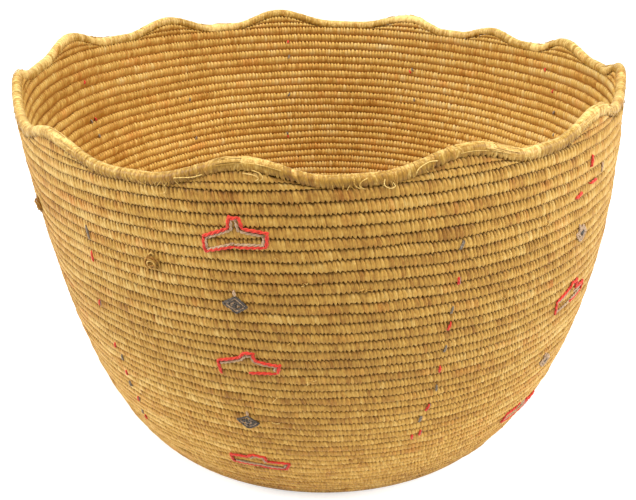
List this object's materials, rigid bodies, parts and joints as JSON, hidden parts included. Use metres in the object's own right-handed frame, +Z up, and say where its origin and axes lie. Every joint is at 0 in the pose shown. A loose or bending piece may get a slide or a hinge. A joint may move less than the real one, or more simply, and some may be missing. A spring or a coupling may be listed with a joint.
{
  "type": "coiled basket",
  "caption": "Round open basket of sewn coiled grass with a flat base, flared wall, scalloped rim coil and small yarn figures on the outside.",
  "frame": {"origin": "middle of the underside of the base, on the surface that the basket stands on", "axes": "+Z up along the basket's axis, out of its mouth; -Y towards the viewer of the picture, +X to the viewer's right"},
  "size_m": [0.4034, 0.402, 0.2555],
  "materials": {
    "wall_grass": "dry golden-brown grass bundle sewn with split grass, matte with a faint sheen",
    "rim_grass": "paler rubbed grass, matte, worn to bare straw at some scallops",
    "base_grass": "pale golden grass, matte, rubbed flat on the underside",
    "red_yarn": "faded red wool yarn",
    "grey_yarn": "grey-brown wool yarn"
  },
  "bodies": {
    "root": {"base_turns_inner": "base_grass", "base_turns_outer": "base_grass", "diamond_1_1": "grey_yarn", "diamond_1_2": "grey_yarn", "diamond_2_1": "grey_yarn", "diamond_2_2": "grey_yarn", "diamond_3_1": "grey_yarn", "diamond_3_2": "grey_yarn", "diamond_4_1": "grey_yarn", "diamond_4_2": "grey_yarn", "diamond_5_1": "grey_yarn", "diamond_5_2": "grey_yarn", "diamond_6_1": "grey_yarn", "diamond_6_2": "grey_yarn", "hat_1_1": "red_yarn", "hat_1_2": "red_yarn", "hat_1_3": "red_yarn", "hat_2_1": "red_yarn", "hat_2_2": "red_yarn", "hat_2_3": "red_yarn", "hat_3_1": "red_yarn", "hat_3_2": "red_yarn", "hat_3_3": "red_yarn", "hat_4_1": "red_yarn", "hat_4_2": "red_yarn", "hat_4_3": "red_yarn", "hat_5_1": "red_yarn", "hat_5_2": "red_yarn", "hat_5_3": "red_yarn", "hat_6_1": "red_yarn", "hat_6_2": "red_yarn", "hat_6_3": "red_yarn", "heel_turn": "base_grass", "rim_coil": "rim_grass", "scallop_rows_01": "wall_grass", "scallop_rows_02": "wall_grass", "scallop_rows_03": "wall_grass", "scallop_rows_04": "wall_grass", "scallop_rows_05": "wall_grass", "scallop_rows_06": "wall_grass", "scallop_rows_07": "wall_grass", "scallop_rows_08": "wall_grass", "scallop_rows_09": "wall_grass", "scallop_rows_10": "wall_grass", "scallop_rows_11": "wall_grass", "scallop_rows_12": "wall_grass", "start_knot": "base_grass", "wall_turns_01": "wall_grass", "wall_turns_02": "wall_grass", "wall_turns_03": "wall_grass", "wall_turns_04": "wall_grass", "wall_turns_05": "wall_grass", "wall_turns_06": "wall_grass", "wall_turns_07": "wall_grass", "wall_turns_08": "wall_grass", "wall_turns_09": "wall_grass", "wall_turns_10": "wall_grass", "wall_turns_11": "wall_grass"}
  },
  "joints": []
}
